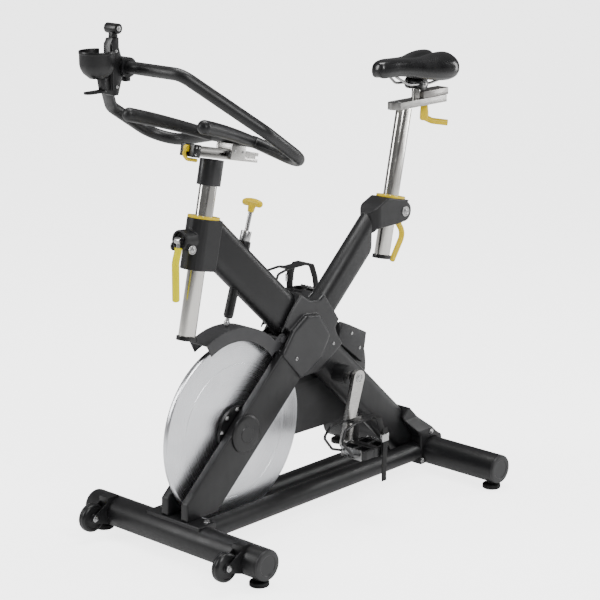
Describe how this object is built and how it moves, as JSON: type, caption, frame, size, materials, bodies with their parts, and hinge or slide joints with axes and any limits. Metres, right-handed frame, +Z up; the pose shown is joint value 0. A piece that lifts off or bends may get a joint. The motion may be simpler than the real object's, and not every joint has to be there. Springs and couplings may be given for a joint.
{
  "type": "indoor spin bike",
  "caption": "Indoor spin bike: exposed disc flywheel in a crossed tube frame, belt drive, cranks with caged pedals, push-down brake, adjustable saddle and looped handlebar.",
  "frame": {"origin": "on the floor under the middle of the overall bounding box", "axes": "+X towards the saddle (rearward), +Y to the rider's right, +Z up"},
  "size_m": [1.204, 0.6, 1.295],
  "materials": {
    "frame_black": "satin black powder coat",
    "cover_black": "moulded, satin to gloss",
    "trim_grey": "fine moulded grain",
    "arm_grey": "satin grey paint",
    "plastic_black": "moulded, fine grain",
    "rubber_black": "moulded rubber",
    "grip_black": "soft satin foam-like coating",
    "chrome_post": "brushed bright plating",
    "steel": "machined",
    "polished_steel": "turned and polished",
    "aluminium": "satin",
    "yellow": "mustard yellow moulding",
    "lemon": "lemon yellow moulding",
    "saddle_black": "smooth glossy vinyl over foam",
    "felt": "pressed felt"
  },
  "bodies": {
    "frame": {"axle_housing_left": "plastic_black", "axle_housing_right": "plastic_black", "base_plate": "frame_black", "base_tube_left": "frame_black", "base_tube_right": "frame_black", "belt_guard_inner": "trim_grey", "belt_guard_outer": "cover_black", "brake_guide": "plastic_black", "drive_belt": "rubber_black", "fork_leg_left": "frame_black", "fork_leg_right": "frame_black", "front_collar": "yellow", "front_head": "frame_black", "front_stabiliser": "frame_black", "hub_cover_left": "cover_black", "hub_cover_right": "cover_black", "main_tube": "frame_black", "rear_bracket": "frame_black", "rear_stabiliser": "frame_black", "seat_collar": "yellow", "seat_head": "frame_black", "seat_tube": "frame_black", "stabiliser_cap_front_left": "trim_grey", "stabiliser_cap_front_right": "trim_grey", "stabiliser_cap_rear_left": "trim_grey", "stabiliser_cap_rear_right": "trim_grey"},
    "flywheel": {"flywheel": "polished_steel", "flywheel_axle": "aluminium"},
    "crank": {"crank_axle": "aluminium", "crank_left": "aluminium", "crank_right": "aluminium"},
    "left_pedal": {"pedal_left": "plastic_black", "toe_cage_left": "plastic_black"},
    "right_pedal": {"pedal_right": "plastic_black", "toe_cage_right": "plastic_black"},
    "left_wheel": {"transport_wheel_left": "plastic_black"},
    "right_wheel": {"transport_wheel_right": "plastic_black"},
    "front_left_foot": {"foot_front_left": "rubber_black"},
    "front_right_foot": {"foot_front_right": "rubber_black"},
    "rear_left_foot": {"foot_rear_left": "rubber_black"},
    "rear_right_foot": {"foot_rear_right": "rubber_black"},
    "brake_push_rod": {"brake_rod": "steel"},
    "brake_tee": {"brake_knob": "yellow"},
    "brake_lever_arm": {"brake_arm": "arm_grey", "brake_pad": "felt"},
    "bar_post": {"handlebar_post": "chrome_post", "handlebar_rail": "aluminium"},
    "bars": {"handlebar_carriage": "aluminium", "handlebar": "grip_black", "console_bracket": "plastic_black", "bottle_holder": "plastic_black"},
    "bar_clamp_lever": {"handlebar_lever": "yellow"},
    "post_cam_lever": {"front_lever": "lemon"},
    "saddle_post": {"seat_post": "chrome_post", "seat_rail": "aluminium"},
    "saddle_slide": {"seat_carriage": "steel"},
    "slide_handle": {"seat_slide_lever": "yellow"},
    "seat_cam_lever": {"seat_lever": "yellow"},
    "saddle_top": {"saddle": "saddle_black", "saddle_clamp": "plastic_black"}
  },
  "joints": [
    {"name": "flywheel_spin", "type": "hinge", "parent": "frame", "child": "flywheel", "pos_m": [-0.201, 0, 0.2736], "axis": [0, 1, 0], "continuous": true},
    {"name": "crank_spin", "type": "hinge", "parent": "frame", "child": "crank", "pos_m": [0.159, 0, 0.345], "axis": [0, 1, 0], "continuous": true},
    {"name": "left_pedal_spin", "type": "hinge", "parent": "crank", "child": "left_pedal", "pos_m": [0.11104, -0.159, 0.1819], "axis": [0, 1, 0], "continuous": true},
    {"name": "right_pedal_spin", "type": "hinge", "parent": "crank", "child": "right_pedal", "pos_m": [0.20696, 0.159, 0.5081], "axis": [0, 1, 0], "continuous": true},
    {"name": "left_wheel_spin", "type": "hinge", "parent": "frame", "child": "left_wheel", "pos_m": [-0.463, -0.2315, 0.0566], "axis": [0, 1, 0], "continuous": true},
    {"name": "right_wheel_spin", "type": "hinge", "parent": "frame", "child": "right_wheel", "pos_m": [-0.463, 0.2315, 0.0566], "axis": [0, 1, 0], "continuous": true},
    {"name": "front_left_foot_turn", "type": "hinge", "parent": "frame", "child": "front_left_foot", "pos_m": [-0.388, -0.27, 0], "axis": [0, 0, 1], "continuous": true},
    {"name": "front_right_foot_turn", "type": "hinge", "parent": "frame", "child": "front_right_foot", "pos_m": [-0.388, 0.27, 0], "axis": [0, 0, 1], "continuous": true},
    {"name": "rear_left_foot_turn", "type": "hinge", "parent": "frame", "child": "rear_left_foot", "pos_m": [0.501, -0.27, 0], "axis": [0, 0, 1], "continuous": true},
    {"name": "rear_right_foot_turn", "type": "hinge", "parent": "frame", "child": "rear_right_foot", "pos_m": [0.501, 0.27, 0], "axis": [0, 0, 1], "continuous": true},
    {"name": "brake_push", "type": "slide", "parent": "frame", "child": "brake_push_rod", "axis": [-0.3101, 0, -0.9507], "range_m": [0, 0.008], "stiffness_N_per_m": 500, "springref_m": -0.012},
    {"name": "brake_tension_turn", "type": "hinge", "parent": "brake_push_rod", "child": "brake_tee", "pos_m": [-0.126, 0, 0.826], "axis": [0.3101, 0, 0.9507], "continuous": true},
    {"name": "brake_arm_swing", "type": "hinge", "parent": "frame", "child": "brake_lever_arm", "pos_m": [-0.054, 0, 0.479], "axis": [0, 1, 0], "range_deg": [-2.7, 0]},
    {"name": "handlebar_height", "type": "slide", "parent": "frame", "child": "bar_post", "axis": [0.2147, 0, 0.9767], "range_m": [-0.055, 0.1]},
    {"name": "handlebar_reach", "type": "slide", "parent": "bar_post", "child": "bars", "axis": [0.9767, 0, -0.2147], "range_m": [-0.06, 0.045]},
    {"name": "handlebar_clamp", "type": "hinge", "parent": "bar_post", "child": "bar_clamp_lever", "pos_m": [-0.34114, 0, 0.99501], "axis": [0, 1, 0], "range_deg": [0, 60]},
    {"name": "post_cam", "type": "hinge", "parent": "frame", "child": "post_cam_lever", "pos_m": [-0.3715, 0, 0.78], "axis": [0, 1, 0], "range_deg": [0, 100]},
    {"name": "saddle_height", "type": "slide", "parent": "frame", "child": "saddle_post", "axis": [0.2147, 0, 0.9767], "range_m": [-0.12, 0.07]},
    {"name": "saddle_fore_aft", "type": "slide", "parent": "saddle_post", "child": "saddle_slide", "axis": [1, 0, 0], "range_m": [-0.035, 0.04]},
    {"name": "slide_handle_turn", "type": "hinge", "parent": "saddle_slide", "child": "slide_handle", "pos_m": [0.525, 0, 0.972], "axis": [0, 0, 1], "range_deg": [-40, 90]},
    {"name": "seat_cam", "type": "hinge", "parent": "frame", "child": "seat_cam_lever", "pos_m": [0.4215, 0, 0.6925], "axis": [0, 1, 0], "range_deg": [-60, 0]},
    {"name": "saddle_tilt", "type": "hinge", "parent": "saddle_slide", "child": "saddle_top", "pos_m": [0.49, 0, 1.052], "axis": [0, 1, 0], "range_deg": [-12, 12]}
  ],
  "couplings": [
    {"joint": "crank_spin", "follows": "flywheel_spin", "ratio": 0.3061},
    {"joint": "brake_arm_swing", "follows": "brake_push", "rad_per_m": -5.68}
  ]
}
